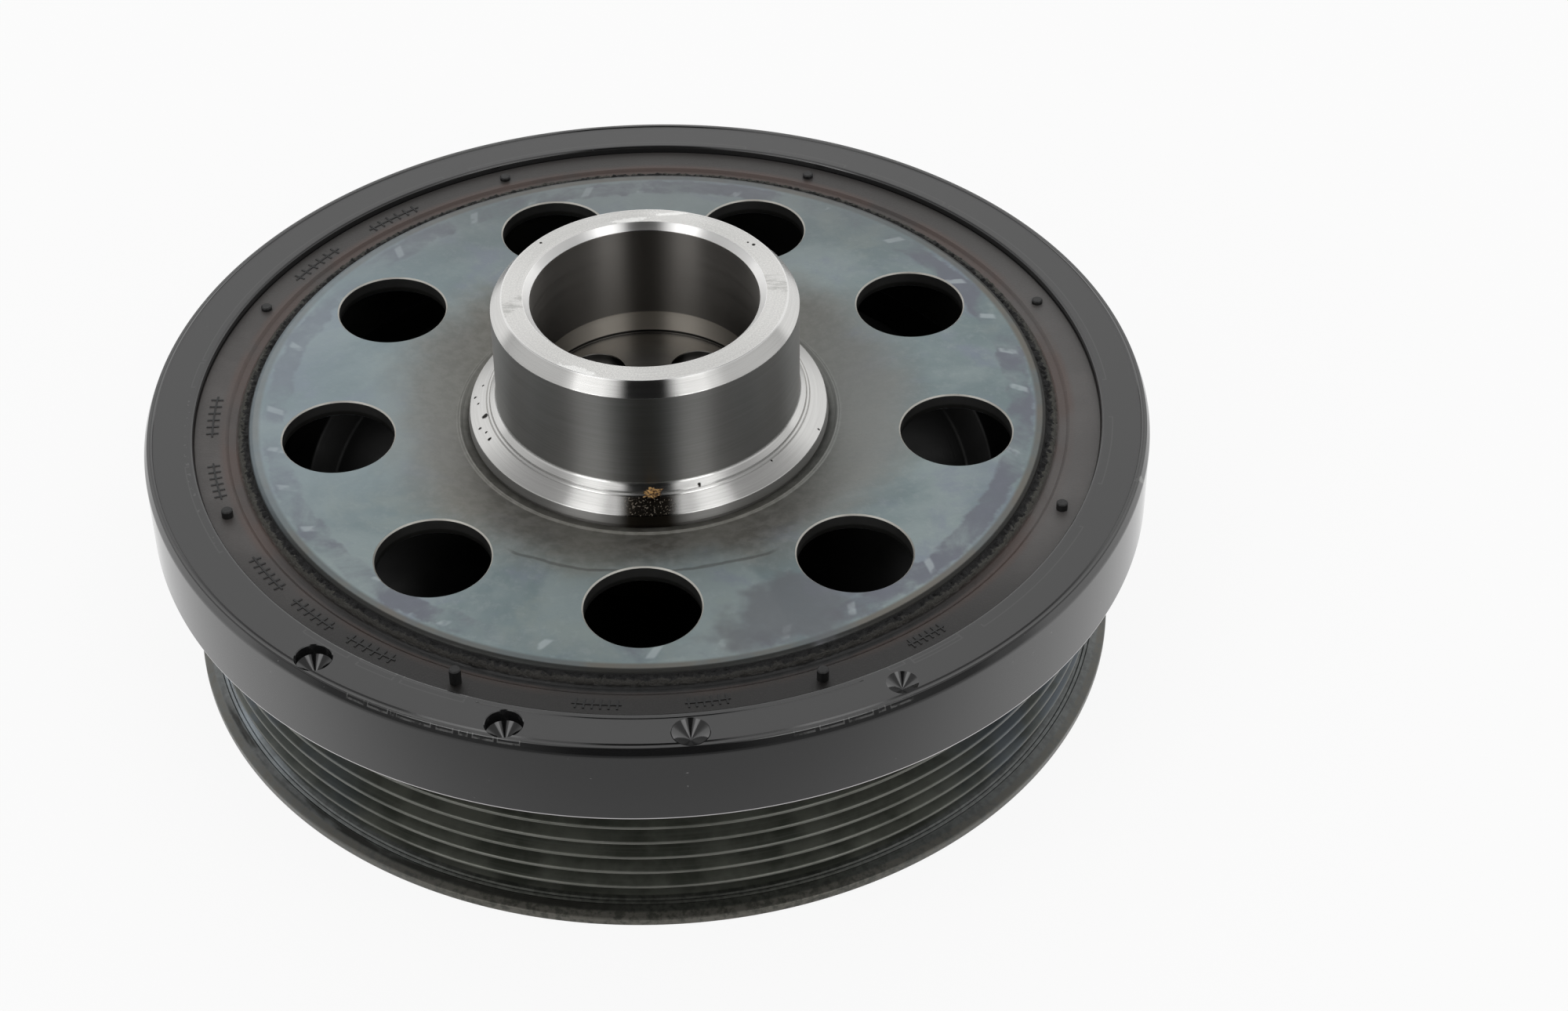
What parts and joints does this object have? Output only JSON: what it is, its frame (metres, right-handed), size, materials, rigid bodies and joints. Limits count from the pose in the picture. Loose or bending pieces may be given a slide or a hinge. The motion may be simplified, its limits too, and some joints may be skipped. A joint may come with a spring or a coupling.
{
  "type": "harmonic balancer",
  "caption": "Engine crankshaft damper: a turned hub and a pierced disc carry a rubber-bonded inertia ring above a grooved belt pulley.",
  "frame": {"origin": "on the axis, at the plane of the pulley's lower rim, on which the part stands", "axes": "+Z along the axis towards the hub's nose; one hole of the disc lies towards -Y"},
  "size_m": [0.18, 0.18, 0.0703],
  "materials": {
    "ground_steel": "turned and ground, bright",
    "oxide_steel": "blue-grey oxide, satin",
    "black_rubber": "matt, brown-black",
    "black_paint": "satin black paint",
    "oiled_steel": "dark, oily, worn on the crests"
  },
  "bodies": {
    "root": {"hub": "ground_steel", "carrier_disc": "oxide_steel", "damper_rubber": "black_rubber", "inertia_ring": "black_paint", "pulley": "oiled_steel"}
  },
  "joints": []
}
